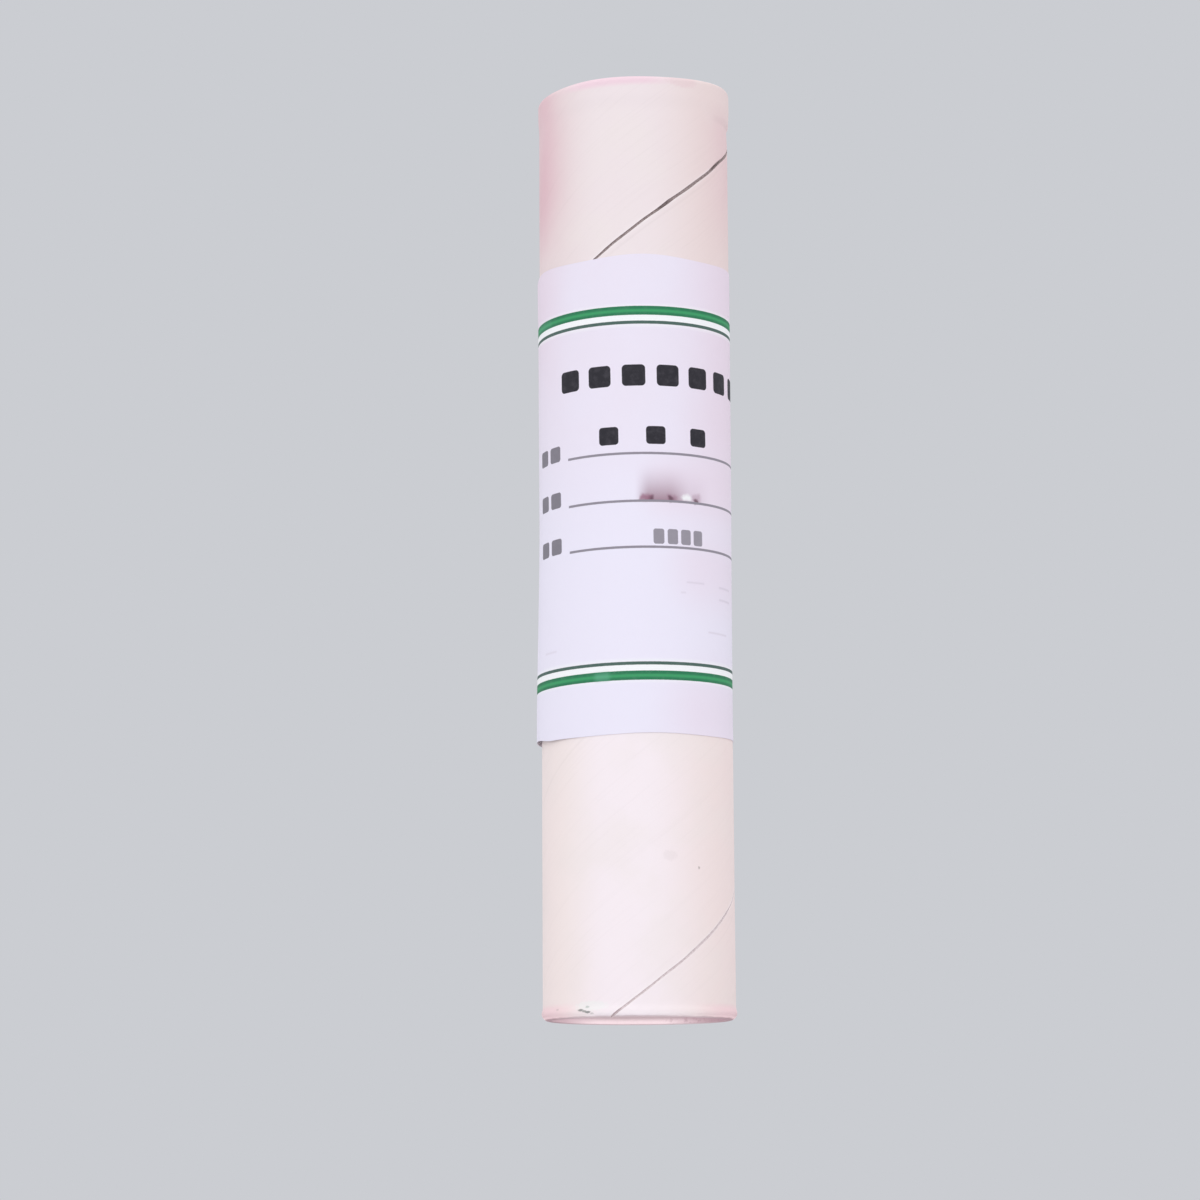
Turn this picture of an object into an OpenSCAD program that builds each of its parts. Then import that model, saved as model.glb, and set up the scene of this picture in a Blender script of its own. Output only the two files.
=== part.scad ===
// Sealed pack of glass capillary tubes: a spiral-wound cardboard tube, closed by a disc
// pressed into each end, with a paper label wrapped loosely round its middle.
// The pack stands on its square lower end. The origin is at the centre of that end, with
// +Z up the tube, -Y towards the front of the label and +X to its right.

/* [Tube] */
// Outer diameter of the tube
tube_od = 33; // [20:0.5:60]
// Length of the tube along its tallest side
tube_len = 162.8; // [135:0.1:260]
// Thickness of the wound wall, which shows as a rim round each end disc
wall = 1.6; // [1:0.1:3]
// Radius of the worn outer edge at each rim
rim_round = 0.9; // [0.2:0.1:0.9]

/* [Ends] */
// Depth of each end disc below its rim
disc_recess = 2.5; // [0.2:0.1:6]
// How much higher the upper end is cut on the right than on the left, in degrees
cut_right = 2.1; // [0:0.1:4]
// How much lower the upper end is cut at the front than at the back, in degrees
cut_front = 2.3; // [0:0.1:4]
// How far the upper rim is spread beyond the tube's own radius
top_spread = 0.15; // [0:0.01:0.5]
// Height of the spread band at the upper end
top_spread_h = 6; // [3:0.5:12]
// How far the lower rim is spread beyond the tube's own radius
base_spread = 0.12; // [0:0.01:0.5]
// Height of the spread band at the lower end
base_spread_h = 2; // [1.5:0.5:12]

/* [Label] */
// Height of the label's paper, along the tube
label_h = 82.5; // [30:0.5:110]
// How far the label's middle is above the tube's middle
label_lift = 6.8; // [-20:0.1:20]
// Thickness of the label's paper
paper_t = 0.1; // [0.08:0.01:0.3]
// Width by which the label's ends lap over each other at the back
lap_w = 8; // [3:0.5:20]
// Direction in which the lap is centred, in degrees round from the front towards the right
lap_turn = 199; // [120:1:240]
// Slope of the wrapped label, in degrees, rising to the right
label_skew = 0.8; // [0:0.1:3]
// How far the loose label stands off the left side of the tube
label_slack = 0.5; // [0:0.05:1.5]
// Film of glue between the label and the right side of the tube
glue_film = 0.02; // [0.01:0.01:0.1]

/* [Hidden] */
$fn = 128;
tube_r = tube_od / 2;
top_r = tube_r + top_spread;
base_r = tube_r + base_spread;
disc_r = tube_r - wall;
// Share of the rounding's radius by which the tilted cutter overhangs the upper rim, so that
// its rounding always meets the wall at a clear angle
rim_overhang = 0.1;
// The spread bands take half their height to reach their full radius
spread_ramp = 0.5;
// Height on the axis of the slanting upper end, whose highest point is at tube_len
cut_drop = top_r * sqrt(pow(tan(cut_right), 2) + pow(tan(cut_front), 2));
cut_z = tube_len - cut_drop;
// Room that the cutting shapes take beyond what they cut
cut_margin = 10;
// Height of the label's lower edge above the base, on the axis
label_rise = tube_len / 2 + label_lift - label_h / 2;
label_bore_r = tube_r + glue_film + label_slack / 2;
label_shift = -label_slack / 2;
label_outer_r = label_bore_r + paper_t;
lap_angle = lap_w / label_outer_r * 180 / PI;

cardboard_colour = [0.95, 0.90, 0.91];
paper_colour = [0.92, 0.91, 0.97];

// Half section of the tube with a square upper end, its lower rim rounded and the lower
// disc set in
module tube_half_section() {
    difference() {
        polygon([
            [0, 0],
            [base_r, 0],
            [base_r, base_spread_h * spread_ramp],
            [tube_r, base_spread_h],
            [tube_r, tube_len - top_spread_h],
            [top_r, tube_len - top_spread_h * spread_ramp],
            [top_r, tube_len],
            [0, tube_len]
        ]);
        square([disc_r, disc_recess]);
        translate([base_r - rim_round, 0]) rim_waste();
    }
}

// What is taken off the corner at a lower rim to round it
module rim_waste() {
    difference() {
        translate([0, -rim_round]) square([2 * rim_round, 2 * rim_round]);
        translate([0, rim_round]) circle(r = rim_round);
    }
}

// Everything above the slanting upper end, with its rounded rim and the upper disc's recess.
// It is drawn with the end's plane at z = 0.
module upper_end_waste() {
    rotate_extrude() {
        square([top_r + cut_margin, cut_margin]);
        translate([0, -disc_recess]) square([disc_r, disc_recess + cut_margin]);
        translate([top_r - rim_round * (1 - rim_overhang), 0]) mirror([0, 1]) rim_waste();
    }
}

module tube() {
    color(cardboard_colour)
        difference() {
            rotate_extrude() tube_half_section();
            translate([0, 0, cut_z]) rotate([cut_front, -cut_right, 0]) upper_end_waste();
        }
}

// The label's paper as a plain ring with its lap, taller than the label by the margin
module label_wrap() {
    blank_h = label_h + 2 * cut_margin;
    difference() {
        union() {
            cylinder(r = label_outer_r, h = blank_h);
            label_lap(blank_h);
        }
        translate([0, 0, -cut_margin]) cylinder(r = label_bore_r, h = blank_h + 2 * cut_margin);
    }
}

// The outer end of the paper, where it lies over the inner one
module label_lap(lap_h) {
    rotate([0, 0, lap_turn - 90 - lap_angle / 2])
        rotate_extrude(angle = lap_angle)
            translate([label_bore_r, 0]) square([2 * paper_t, lap_h]);
}

module label() {
    slab_w = 4 * label_outer_r;
    color(paper_colour)
        intersection() {
            translate([label_shift, 0, label_rise - cut_margin]) label_wrap();
            translate([0, 0, label_rise])
                rotate([0, -label_skew, 0])
                    translate([-slab_w / 2, -slab_w / 2, 0]) cube([slab_w, slab_w, label_h]);
        }
}

tube();
label();
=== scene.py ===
# The looks of a sealed cardboard tube of glass capillary tubes with a loose paper label.
#
# The tube stands on its square lower end at the origin, with +Z up it and -Y towards the
# front of the label. A direction round the tube is an angle from the front, in radians,
# that grows towards the right. Lengths are in metres.
import math

import bmesh
import bpy
from mathutils import Matrix, Vector, noise


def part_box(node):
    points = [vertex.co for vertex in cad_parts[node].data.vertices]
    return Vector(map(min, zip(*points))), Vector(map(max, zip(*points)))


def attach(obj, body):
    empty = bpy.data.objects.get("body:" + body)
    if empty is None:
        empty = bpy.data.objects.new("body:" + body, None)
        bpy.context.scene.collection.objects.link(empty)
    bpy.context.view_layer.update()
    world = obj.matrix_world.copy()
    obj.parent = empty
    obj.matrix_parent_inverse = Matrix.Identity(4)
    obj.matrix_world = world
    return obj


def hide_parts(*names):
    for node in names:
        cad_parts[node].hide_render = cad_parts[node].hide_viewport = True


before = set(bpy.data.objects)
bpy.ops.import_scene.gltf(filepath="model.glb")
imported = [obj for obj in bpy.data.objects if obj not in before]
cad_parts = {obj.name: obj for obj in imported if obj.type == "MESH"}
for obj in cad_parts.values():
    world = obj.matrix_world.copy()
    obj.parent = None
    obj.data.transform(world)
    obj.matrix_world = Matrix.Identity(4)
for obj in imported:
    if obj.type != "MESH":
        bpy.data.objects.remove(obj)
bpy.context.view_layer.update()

MM = 0.001
TURN = 2 * math.pi

# ---------------- sizes from the frame

tube_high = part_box("tube")[1]
label_low, label_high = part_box("label")

# The tube
TOP_SPREAD = 0.15 * MM
TOP_SPREAD_H = 6 * MM
BASE_SPREAD = 0.12 * MM
BASE_SPREAD_H = 2 * MM
SPREAD_RAMP = 0.5
WALL = 1.6 * MM
RIM_BEVEL = 0.12 * MM
DISC_RECESS = 2.5 * MM
CUT_SLOPE_RIGHT = math.tan(math.radians(2.1))
CUT_SLOPE_BACK = math.tan(math.radians(2.3))
# The upper end's edge isn't quite flat: it has this many gentle waves round it
EDGE_WAVE = 0.12 * MM
EDGE_WAVES = 4
# The lower rim's edge is worn more at its sides than at the front and back, the upper one's
# a little more on the left than on the right
LOWER_ROUND = 0.9 * MM
LOWER_ROUND_CHANGE = 0.35 * MM
UPPER_ROUND = 0.84 * MM
UPPER_ROUND_CHANGE = 0.23 * MM
# The hand-made tube is a little thicker above the label than below it, and the tightly
# wrapped label presses it in on the right
UPPER_SWELL = 0.04 * MM
LOWER_SHRINK = 0.12 * MM
SQUEEZE = 0.10 * MM
top_r = tube_high.x
tube_r = top_r - TOP_SPREAD
base_r = tube_r + BASE_SPREAD
disc_r = tube_r - WALL
cut_z = tube_high.z - top_r * math.hypot(CUT_SLOPE_RIGHT, CUT_SLOPE_BACK)

# The label
PAPER_T = 0.10 * MM
LABEL_SKEW = math.radians(0.8)
LAP_W = 8 * MM
LAP_TURN = math.radians(199)
GLUE_FILM = 0.02 * MM
label_r = tube_r + PAPER_T
label_h = label_high.z - label_low.z - (label_high.x - label_low.x) * math.tan(LABEL_SKEW)
label_rise = (label_low.z + label_high.z) / 2 - label_h / 2
lap_angle = LAP_W / label_r
sheet_start = (LAP_TURN - lap_angle / 2 - TURN) * label_r
sheet_end = (LAP_TURN + lap_angle / 2) * label_r

# The winding: each seam climbs by this much for each radian towards the right
WIND_CLIMB = 12.55 * MM
wind_pitch = WIND_CLIMB * TURN
# Height at the front of the seams above and below the label, and of the ply joint under
# the outer ply, which shows faintly through it
UPPER_SEAM = 134.3 * MM
LOWER_SEAM = 3.65 * MM
INNER_JOINT = 54.0 * MM


# ---------------- helpers for shapes

def on_tube(radius, angle, height):
    """The point at a radius, direction and height."""
    return Vector((radius * math.sin(angle), -radius * math.cos(angle), height))


def smooth_step(value, low, high):
    """Smoothly from 0 to 1 as value goes from low to high."""
    share = min(1.0, max(0.0, (value - low) / (high - low)))
    return share * share * (3 - 2 * share)


def upper_end(point):
    """Height of the slanting upper end over a point."""
    return cut_z + point.x * CUT_SLOPE_RIGHT + point.y * CUT_SLOPE_BACK


def edge_wave(angle):
    """How far the upper end's edge stands above its plane in a direction."""
    return -EDGE_WAVE * math.sin(EDGE_WAVES * angle)


def ripple(angle, height, round_count, along, seed):
    """Smooth noise from -1 to 1 that closes on itself round the tube."""
    x = math.cos(angle) * round_count
    y = math.sin(angle) * round_count
    return noise.noise(Vector((x, y, height / along + seed)))


def new_object(name, bm, materials):
    """An object in the scene made of a bmesh, which is freed."""
    bmesh.ops.recalc_face_normals(bm, faces=bm.faces)
    mesh = bpy.data.meshes.new(name)
    bm.to_mesh(mesh)
    bm.free()
    piece = bpy.data.objects.new(name, mesh)
    bpy.context.scene.collection.objects.link(piece)
    for material in materials:
        mesh.materials.append(material)
    return piece


def bridge(bm, ring_a, ring_b, material=0):
    """Quads between two closed rings of as many vertices."""
    count = len(ring_a)
    for i in range(count):
        j = (i + 1) % count
        face = bm.faces.new((ring_a[i], ring_a[j], ring_b[j], ring_b[i]))
        face.material_index = material
        face.smooth = True


# ---------------- helpers for materials

def srgb(red, green, blue):
    """A colour as it is seen, from 0 to 255, as the linear colour that a shader takes."""
    def linear(c):
        c /= 255
        return c / 12.92 if c <= 0.04045 else ((c + 0.055) / 1.055) ** 2.4
    return (linear(red), linear(green), linear(blue), 1.0)


# The sockets of a Map Range node, in the order in which ramps state their numbers
RAMP_SOCKETS = ("From Min", "From Max", "To Min", "To Max")


class Shade:
    """A material's node tree, with a short call for each kind of node that is used here."""

    def __init__(self, name, roughness, specular=0.3):
        self.material = bpy.data.materials.new(name)
        self.material.use_nodes = True
        self.tree = self.material.node_tree
        self.shader = self.tree.nodes["Principled BSDF"]
        self.shader.inputs["Roughness"].default_value = roughness
        self.shader.inputs["Specular IOR Level"].default_value = specular
        self.place = self.add("TexCoord").outputs["Object"]

    def add(self, kind, **settings):
        node = self.tree.nodes.new("ShaderNode" + kind)
        for name, value in settings.items():
            setattr(node, name, value)
        return node

    def feed(self, socket, value):
        """Links a socket to another, or sets it to a constant."""
        if isinstance(value, bpy.types.NodeSocket):
            self.tree.links.new(value, socket)
        else:
            socket.default_value = value

    def math(self, operation, first, second=0.0):
        node = self.add("Math", operation=operation)
        self.feed(node.inputs[0], first)
        self.feed(node.inputs[1], second)
        return node.outputs[0]

    def times(self, first, *others):
        """All the values multiplied together."""
        for other in others:
            first = self.math("MULTIPLY", first, other)
        return first

    def vector(self, operation, first, second=(0, 0, 0), output=0):
        node = self.add("VectorMath", operation=operation)
        self.feed(node.inputs[0], first)
        self.feed(node.inputs[1], second)
        return node.outputs[output]

    def split(self, vector):
        node = self.add("SeparateXYZ")
        self.feed(node.inputs[0], vector)
        return node.outputs

    def join(self, x, y, z):
        node = self.add("CombineXYZ")
        for socket, value in zip(node.inputs, (x, y, z)):
            self.feed(socket, value)
        return node.outputs[0]

    def noise(self, place, per_metre, detail=2.0, rough=0.5, output="Fac"):
        node = self.add("TexNoise")
        self.feed(node.inputs["Vector"], place)
        node.inputs["Scale"].default_value = per_metre
        node.inputs["Detail"].default_value = detail
        node.inputs["Roughness"].default_value = rough
        return node.outputs[output]

    def ramp(self, value, low, high, at_low=0.0, at_high=1.0):
        """Smoothly from at_low to at_high as value goes from low to high."""
        node = self.add("MapRange", interpolation_type="SMOOTHSTEP")
        self.feed(node.inputs["Value"], value)
        for name, number in zip(RAMP_SOCKETS, (low, high, at_low, at_high)):
            self.feed(node.inputs[name], number)
        return node.outputs["Result"]

    def mix(self, share, under, over):
        node = self.add("Mix", data_type="RGBA")
        self.feed(node.inputs[0], share)
        self.feed(node.inputs[6], under)
        self.feed(node.inputs[7], over)
        return node.outputs[2]

    def finish(self, colour, height=None, bump_depth=0.0, roughness=None):
        """Gives the shader its colour, bump and roughness, and returns the material."""
        self.feed(self.shader.inputs["Base Color"], colour)
        if height is not None:
            bump = self.add("Bump")
            bump.inputs["Strength"].default_value = 1.0
            bump.inputs["Distance"].default_value = bump_depth
            self.feed(bump.inputs["Height"], height)
            self.feed(self.shader.inputs["Normal"], bump.outputs[0])
        if roughness is not None:
            self.feed(self.shader.inputs["Roughness"], roughness)
        return self.material


# ---------------- the tube's materials

# The paper's colour low and high on the tube, each down the front, on the left and on the
# right. The left and right colours are darker and warmer: painted shade of the tube's
# turning sides.
LOWER_PAPER = srgb(248, 238, 243)
LOWER_LEFT_SHADED = srgb(246, 234, 232)
LOWER_RIGHT_SHADED = srgb(244, 228, 227)
UPPER_PAPER = srgb(240, 228, 231)
UPPER_LEFT_SHADED = srgb(237, 224, 225)
UPPER_RIGHT_SHADED = srgb(237, 220, 219)
CREAM_PAPER = srgb(240, 231, 229)
# Pink painted shade of the tube's upper sides, and the tone of a pink stain at the upper rim
PINK_SHADE_AND_STAIN = srgb(228, 191, 200)
# Pink painted shade on the rounded edges of the upper rim and of the lower rim's sides
RIM_EDGE_SHADE = srgb(242, 206, 222)
FOOT_SIDE_SHADE = srgb(243, 212, 218)
CLEAN_PAPER = srgb(240, 243, 241)
FRAYED_PAPER = srgb(252, 246, 248)
SOIL = srgb(166, 152, 150)
# Darker tones for the lower rim's bottom edge, the second at its sides
FOOT_EDGE_DARK = srgb(186, 167, 173)
FOOT_EDGE_SIDE_DARK = srgb(154, 123, 133)
SMUDGE = srgb(96, 106, 100)
SMEAR = srgb(196, 202, 198)
# The recesses' lining at the rim, the painted shade that darkens it deep down, more in the
# lower one and at that one's sides, and the dirt specks of the lower one
LINING_EDGE = srgb(248, 231, 236)
LINING_DEEP_SHADE = srgb(224, 209, 213)
LINING_LOWER_DEEP_SHADE = srgb(194, 176, 182)
LINING_LEFT_SHADE = srgb(188, 158, 168)
LINING_RIGHT_SHADE = srgb(168, 136, 148)
LINING_SPECK = srgb(176, 146, 156)
# The wound board's cut end, the end discs and the board in the seams
PLY_PALE = srgb(243, 227, 231)
PLY_DARK = srgb(218, 200, 200)
PLY_FIBRE = srgb(196, 178, 174)
DISC_PINK = srgb(244, 230, 234)
DISC_CREAM = srgb(240, 229, 228)
DISC_GRAIN = srgb(200, 186, 182)
UPPER_GAP_DARK = srgb(150, 135, 135)
UPPER_GAP_PALE = srgb(186, 170, 170)
LOWER_GAP_DARK = srgb(206, 191, 194)
LOWER_GAP_PALE = srgb(226, 213, 216)

# The heights between which the paper goes from its lower colours to its upper ones
PAPER_CHANGE = (46 * MM, 128 * MM)

# Each line that follows the winding: its height at the front, half its width, the heights
# between which it shows, its strength and its tone. They are the frayed pale edges of the
# ply beside both seams, and the faint joint of the ply underneath.
WINDING_LINES = (
    (UPPER_SEAM, 0.9 * MM, 120 * MM, 146 * MM, 0.7, FRAYED_PAPER),
    (LOWER_SEAM, 0.8 * MM, -5 * MM, 55 * MM, 0.5, FRAYED_PAPER),
    (INNER_JOINT, 0.5 * MM, -5 * MM, 170 * MM, 0.06, SOIL),
)

# Each mark of handling, and one painted shadow: its direction in degrees, its height and how
# wide and tall it is, in millimetres, its strength and its tone. A clean patch holds a smudge
# near the lower end, a pink stain is at the upper rim, the faint wide patch at 18.9 degrees is
# a painted shadow, and the others are specks.
MARKS_AND_SHADOW = (
    (-29.0, 1.9, 6.5, 1.7, 0.5, CLEAN_PAPER),
    (-36.2, 1.25, 1.2, 0.45, 0.75, SMUDGE),
    (-33.6, 1.05, 1.0, 0.36, 0.6, SMUDGE),
    (-31.2, 0.88, 1.3, 0.4, 0.75, SMUDGE),
    (-28.3, 0.65, 0.9, 0.3, 0.3, SMUDGE),
    (-31.6, 1.75, 0.8, 0.45, 0.8, SMEAR),
    (-56.0, 1.5, 0.8, 0.4, 0.3, SOIL),
    (31.0, 160.9, 6.0, 2.4, 0.3, PINK_SHADE_AND_STAIN),
    (38.2, 24.8, 0.55, 0.55, 0.65, SOIL),
    # A faint painted shadow
    (18.9, 26.7, 2.6, 1.8, 0.08, SOIL),
)


def winding_place(shade, angle, height):
    """Coordinates whose noise runs in streaks along the winding and closes round the tube."""
    phase = shade.math("SUBTRACT", angle, shade.math("DIVIDE", height, WIND_CLIMB))
    across = shade.times(shade.math("COSINE", phase), tube_r)
    around = shade.times(shade.math("SINE", phase), tube_r)
    return shade.join(across, around, shade.times(height, 0.06))


def winding_line(shade, angle, height, at_front, half_width, lowest, highest):
    """1 on a line that follows the winding between two heights, fading to 0 beside it."""
    climb = shade.times(angle, WIND_CLIMB)
    offset = shade.math("SUBTRACT", shade.math("SUBTRACT", height, climb), at_front)
    turns = shade.math("DIVIDE", offset, wind_pitch)
    nearest = shade.math("SUBTRACT", turns, shade.math("ROUND", turns))
    apart = shade.times(shade.math("ABSOLUTE", nearest), wind_pitch)
    line = shade.ramp(apart, 0.0, half_width, 1.0, 0.0)
    from_low = shade.ramp(height, lowest - MM, lowest)
    to_high = shade.ramp(height, highest, highest + MM, 1.0, 0.0)
    return shade.times(line, from_low, to_high)


def spot(shade, degrees, height, width, tall):
    """1 at a mark on the tube's wall, of a width and height in millimetres, fading to 0 at
    its uneven edge."""
    centre = on_tube(tube_r, math.radians(degrees), height * MM)
    away = shade.vector("SUBTRACT", shade.place, tuple(centre))
    scale = (2 / (width * MM), 2 / (width * MM), 2 / (tall * MM))
    scaled = shade.vector("MULTIPLY", away, scale)
    reach = shade.vector("LENGTH", scaled, output=1)
    rough = shade.math("SUBTRACT", shade.noise(shade.place, 2600, 3.0), 0.5)
    return shade.ramp(shade.math("ADD", reach, rough), 0.65, 1.25, 1.0, 0.0)


def beside(shade, place, start, full, at_full=1.0):
    """From 0 to at_full as a place goes from start to full, in tube radii. The place is how
    far it is to the right or to the back, or its absolute value for both sides alike."""
    return shade.ramp(shade.math("DIVIDE", place, tube_r), start, full, 0.0, at_full)


def below_upper_end(shade, x, y, z):
    """How far a place is below the upper end's slanting plane."""
    to_right = shade.times(x, CUT_SLOPE_RIGHT)
    to_back = shade.times(y, CUT_SLOPE_BACK)
    slope = shade.math("ADD", to_right, to_back)
    return shade.math("SUBTRACT", shade.math("ADD", slope, cut_z), z)


def plain_paper(shade, x, z):
    """The paper without its stains. Painted shade makes it a little darker and warmer
    towards both sides.
    """
    raised = shade.ramp(z, *PAPER_CHANGE)
    colour = shade.mix(raised, LOWER_PAPER, UPPER_PAPER)
    # Painted shade: darker, warmer colours towards each side
    for start, full, lower, upper in (
        (-0.3, -0.85, LOWER_LEFT_SHADED, UPPER_LEFT_SHADED),
        (0.05, 0.85, LOWER_RIGHT_SHADED, UPPER_RIGHT_SHADED),
    ):
        side = shade.mix(raised, lower, upper)
        colour = shade.mix(beside(shade, x, start, full), colour, side)
    clouds = shade.noise(shade.place, 70, 3.0)
    return shade.mix(shade.ramp(clouds, 0.45, 0.7, 0.0, 0.4), colour, CREAM_PAPER)


def pink_side_shade(shade, x, y, z):
    """How much painted shade, pink and darker, the paper gets near the upper end: none at the
    front, most towards the turning sides and on the left.
    """
    turned = beside(shade, y, -0.95, -0.3)
    behind = shade.ramp(shade.math("DIVIDE", y, tube_r), 0.0, 0.8, 1.0, 0.5)
    raised = shade.ramp(z, 124 * MM, 145 * MM, 0.1, 1.0)
    left = shade.ramp(shade.math("DIVIDE", x, tube_r), -0.6, 0.6, 1.0, 0.5)
    patches = shade.ramp(shade.noise(shade.place, 55, 3.0), 0.3, 0.7, 0.7, 1.0)
    paler_top = shade.ramp(z, 153 * MM, 160 * MM, 0.0, 0.75)
    paler_top = shade.times(paler_top, beside(shade, x, 0.3, 0.9))
    kept = shade.math("SUBTRACT", 1.0, paler_top)
    return shade.times(kept, turned, behind, raised, left, patches)


def darkened_foot_edge(shade, colour, x, z):
    """Makes the lower rim's bottom edge darker, most at its sides."""
    both_sides = beside(shade, shade.math("ABSOLUTE", x), 0.5, 0.95)
    edge_tone = shade.mix(both_sides, FOOT_EDGE_DARK, FOOT_EDGE_SIDE_DARK)
    uneven = shade.times(shade.noise(shade.place, 500, 2.0), 0.2 * MM)
    share = shade.ramp(shade.math("SUBTRACT", z, uneven), -0.05 * MM, 0.26 * MM, 0.9, 0.0)
    return shade.mix(share, colour, edge_tone)


def rim_edge_shade(shade, colour, x, y, z):
    """Paints shade on the rims' rounded edges: the upper rim pinker and darker at its front and
    back, the lower one at its sides.
    """
    upper = shade.ramp(below_upper_end(shade, x, y, z), 0.9 * MM, 2.0 * MM, 0.65, 0.0)
    for start, full, most in ((0.1, 0.5, 1.0), (-0.45, -0.85, 0.95)):
        kept = shade.math("SUBTRACT", 1.0, beside(shade, x, start, full, most))
        upper = shade.times(upper, kept)
    colour = shade.mix(upper, colour, RIM_EDGE_SHADE)
    both_sides = beside(shade, shade.math("ABSOLUTE", x), 0.5, 0.95, 0.85)
    low = shade.ramp(z, 1.5 * MM, 2.8 * MM, 1.0, 0.0)
    not_behind = beside(shade, y, 0.7, -0.2)
    return shade.mix(shade.times(low, both_sides, not_behind), colour, FOOT_SIDE_SHADE)


def wall_paper():
    """The outer ply: matt pinkish-white paper, its grain along the winding."""
    shade = Shade("tube_paper", 0.8)
    x, y, z = shade.split(shade.place)
    angle = shade.math("ARCTAN2", x, shade.times(y, -1.0))
    colour = plain_paper(shade, x, z)
    # Painted shade: pinker, darker paper towards the sides near the upper end
    colour = shade.mix(pink_side_shade(shade, x, y, z), colour, PINK_SHADE_AND_STAIN)
    # Painted shade on the rims' rounded edges
    colour = rim_edge_shade(shade, colour, x, y, z)
    streaks = shade.noise(winding_place(shade, angle, z), 1500, 4.0, 0.6)
    colour = shade.mix(shade.ramp(streaks, 0.5, 0.8, 0.0, 0.05), colour, SOIL)
    for at_front, half_width, lowest, highest, strength, tone in WINDING_LINES:
        line = winding_line(shade, angle, z, at_front, half_width, lowest, highest)
        colour = shade.mix(shade.times(line, strength), colour, tone)
    for degrees, height, width, tall, strength, tone in MARKS_AND_SHADOW:
        mark = shade.times(spot(shade, degrees, height, width, tall), strength)
        colour = shade.mix(mark, colour, tone)
    colour = darkened_foot_edge(shade, colour, x, z)

    fibres = shade.noise(shade.place, 5200, 3.0, 0.6)
    height = shade.math("ADD", shade.times(fibres, 0.5), shade.times(streaks, 0.2))
    roughness = shade.ramp(streaks, 0.3, 0.7, 0.74, 0.86)
    return shade.finish(colour, height, 0.03 * MM, roughness)


def recess_lining():
    """The paper that lines an end's recess: pale at the rim, with painted shade darkening it
    towards the disc. The lower one has more painted shade, most at its sides, and dirt specks
    on its right."""
    shade = Shade("recess_lining", 0.85)
    x, y, z = shade.split(shade.place)
    depth = shade.math("MINIMUM", z, below_upper_end(shade, x, y, z))
    # Painted shade: darker towards the disc, more in the lower recess
    lower = shade.ramp(z, label_low.z, label_high.z, 1.0, 0.0)
    deep = shade.mix(lower, LINING_DEEP_SHADE, LINING_LOWER_DEEP_SHADE)
    colour = shade.mix(shade.ramp(depth, 0.4 * MM, 1.3 * MM), LINING_EDGE, deep)
    # Painted shade on the lower lining's sides
    for start, full, most, tone in (
        (-0.4, -0.95, 0.85, LINING_LEFT_SHADE),
        (0.2, 0.85, 0.85, LINING_RIGHT_SHADE),
    ):
        side = shade.times(beside(shade, x, start, full, most), lower)
        colour = shade.mix(side, colour, tone)
    specks = shade.ramp(shade.noise(shade.place, 1400, 2.0), 0.52, 0.66, 0.0, 0.5)
    right = shade.times(beside(shade, x, 0.2, 0.45), lower)
    colour = shade.mix(shade.times(specks, right), colour, LINING_SPECK)
    fibres = shade.noise(shade.place, 4000, 3.0, 0.6)
    colour = shade.mix(shade.ramp(fibres, 0.5, 0.8, 0.0, 0.15), colour, SOIL)
    return shade.finish(colour, fibres, 0.03 * MM)


def rim_board():
    """The cut end of the wound board, with its plies as fine rings."""
    shade = Shade("tube_rim_board", 0.9)
    x, y, z = shade.split(shade.place)
    radius = shade.vector("LENGTH", shade.join(x, y, 0.0), output=1)
    wander = shade.times(shade.noise(shade.place, 300, 2.0), 0.35 * MM)
    plies = shade.noise(shade.join(shade.math("ADD", radius, wander), 0.0, 0.0), 3600, 1.0)
    fibres = shade.noise(shade.place, 4000, 4.0, 0.7)
    colour = shade.mix(shade.ramp(plies, 0.4, 0.62), PLY_PALE, PLY_DARK)
    colour = shade.mix(shade.ramp(fibres, 0.5, 0.75, 0.0, 0.25), colour, PLY_FIBRE)
    colour = darkened_foot_edge(shade, colour, x, z)
    height = shade.math("ADD", shade.times(plies, 0.6), fibres)
    return shade.finish(colour, height, 0.05 * MM)


def disc_board():
    """The disc pressed into each end: pinkish-white board, its grain from front to back."""
    shade = Shade("end_disc_board", 0.85)
    stretched = shade.vector("MULTIPLY", shade.place, (1.0, 0.12, 1.0))
    grain = shade.noise(stretched, 1700, 4.0, 0.6)
    clouds = shade.noise(shade.place, 120, 3.0)
    colour = shade.mix(shade.ramp(clouds, 0.35, 0.65), DISC_PINK, DISC_CREAM)
    colour = shade.mix(shade.ramp(grain, 0.5, 0.8, 0.0, 0.16), colour, DISC_GRAIN)
    return shade.finish(colour, grain, 0.04 * MM)


def seam_gap(name, dark, pale):
    """The bare board down in the gap between two turns of the outer ply."""
    shade = Shade(name, 0.95)
    fibres = shade.noise(shade.place, 3000, 3.0)
    colour = shade.mix(shade.ramp(fibres, 0.3, 0.7), dark, pale)
    return shade.finish(colour, fibres, 0.05 * MM)


# ---------------- the tube

# Columns of faces round the tube, their directions, and rows of faces up its wall
TUBE_COLUMNS = 384
TUBE_ANGLES = [i / TUBE_COLUMNS * TURN for i in range(TUBE_COLUMNS)]
WALL_ROWS = 120
# How much closer together the rows are near the ends than they would be if even
ROW_CROWDING = 0.85
# The tube's materials, by their number
PAPER, BOARD, DISC, LINING = 0, 1, 2, 3
# Rows round a rim's worn outer edge, and the material of each row from the disc outwards
BEND_STEPS = 8
BOARD_STEPS = BEND_STEPS // 4
RIM_ROWS = [LINING] * 3 + [BOARD] * (3 + BOARD_STEPS) + [PAPER] * (BEND_STEPS - BOARD_STEPS)
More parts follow.
